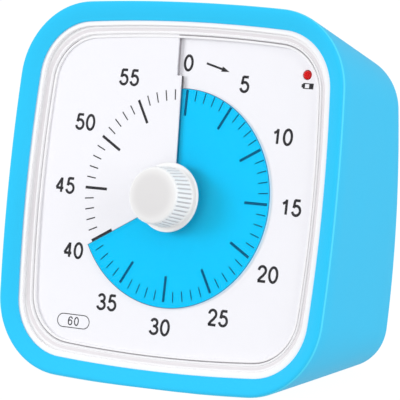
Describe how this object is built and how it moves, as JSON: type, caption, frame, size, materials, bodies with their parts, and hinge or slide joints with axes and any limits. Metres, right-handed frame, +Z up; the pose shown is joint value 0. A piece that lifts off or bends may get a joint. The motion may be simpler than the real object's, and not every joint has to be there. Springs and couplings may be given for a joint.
{
  "type": "visual countdown timer",
  "caption": "Square desk timer in a rubber sleeve: a central knob winds a see-through coloured disc through a slit in a numbered dial to show the time left.",
  "frame": {"origin": "centre of the bounding box at its base, on the surface the timer stands on", "axes": "+Z up, +X to the right as seen from the front; the dial faces -Y and leans back by the sleeve's taper"},
  "size_m": [0.0888, 0.052, 0.0874],
  "materials": {
    "sleeve_rubber": "matte moulded silicone, bright blue",
    "white_case": "white moulded plastic, satin",
    "clear_plastic": "clear moulded plastic window",
    "dial_white": "white plate, printed in dark grey",
    "disc_blue": "see-through blue film",
    "white_hub": "white moulded plastic",
    "knob_white": "white moulded plastic, satin, fluted",
    "brass": "turned brass",
    "red_light": "red light-emitting diode lens",
    "board_green": "glass-fibre board with solder mask",
    "grey_plastic": "grey moulded plastic",
    "gear_plastic": "natural acetal",
    "spring_steel": "plated steel",
    "screw_steel": "zinc-plated steel",
    "magnet": "bare ferrite magnet",
    "black_plastic": "black moulded plastic",
    "switch_black": "black moulded switch cap, ridged",
    "copper_wire": "enamelled copper wire",
    "battery_wrap": "plain dark wrap"
  },
  "bodies": {
    "case": {"silicone_sleeve": "sleeve_rubber", "front_bezel": "white_case", "clear_lens": "clear_plastic", "middle_shell": "white_case", "dial_plate": "dial_white", "chassis_plate": "white_case", "low_battery_light": "red_light", "light_board": "board_green", "movement_front": "grey_plastic", "movement_back": "grey_plastic", "stator": "spring_steel", "coil_bobbin": "black_plastic", "coil_winding": "copper_wire", "chassis_screws": "screw_steel", "movement_screws": "screw_steel", "rear_cover": "white_case", "circuit_board": "board_green", "timing_chip": "black_plastic", "quartz_crystal": "spring_steel", "buzzer_can": "black_plastic", "volume_switch_body": "spring_steel", "alert_switch_body": "spring_steel", "battery": "battery_wrap", "battery_spring_contact": "spring_steel", "battery_plate_contact": "spring_steel", "case_screws": "screw_steel", "board_screws": "screw_steel"},
    "knob": {"knob": "knob_white", "knob_shaft": "brass", "centre_wheel": "gear_plastic", "clutch_spring": "spring_steel"},
    "disc": {"disc_hub": "white_hub", "disc_film": "disc_blue"},
    "intermediate": {"intermediate_wheel": "gear_plastic"},
    "rotor": {"rotor_pinion": "gear_plastic", "rotor_magnet": "magnet"},
    "volume_cap": {"volume_switch_cap": "switch_black"},
    "alert_cap": {"alert_switch_cap": "switch_black"},
    "door": {"battery_door": "white_case"}
  },
  "joints": [
    {"name": "knob_turn", "type": "hinge", "parent": "case", "child": "knob", "pos_m": [0, -0.01426, 0.04256], "axis": [0, 0.9854, -0.17], "range_deg": [-240.84, 119.16]},
    {"name": "disc_float", "type": "slide", "parent": "knob", "child": "disc", "axis": [0, -0.9854, 0.17], "range_m": [-0.00082, 0.00042]},
    {"name": "intermediate_turn", "type": "hinge", "parent": "case", "child": "intermediate", "pos_m": [0.01479, -0.01602, 0.03236], "axis": [0, 0.9854, -0.17], "range_deg": [-595.8, 1204.2]},
    {"name": "rotor_turn", "type": "hinge", "parent": "case", "child": "rotor", "pos_m": [0.00478, -0.017, 0.02667], "axis": [0, 0.9854, -0.17], "range_deg": [-4335.12, 2144.88]},
    {"name": "volume_switch_slide", "type": "slide", "parent": "case", "child": "volume_cap", "axis": [1, 0, 0], "range_m": [-0.0025, 0.0025]},
    {"name": "alert_switch_slide", "type": "slide", "parent": "case", "child": "alert_cap", "axis": [1, 0, 0], "range_m": [0, 0.003]},
    {"name": "battery_door_tilt", "type": "hinge", "parent": "case", "child": "door", "pos_m": [0, 0.02195, 0.01521], "axis": [-1, 0, 0], "range_deg": [0, 100]}
  ],
  "couplings": [
    {"joint": "disc_float", "follows": "knob_turn", "m_per_rad": 0.00019099},
    {"joint": "intermediate_turn", "follows": "knob_turn", "ratio": -5},
    {"joint": "rotor_turn", "follows": "knob_turn", "ratio": 18}
  ]
}
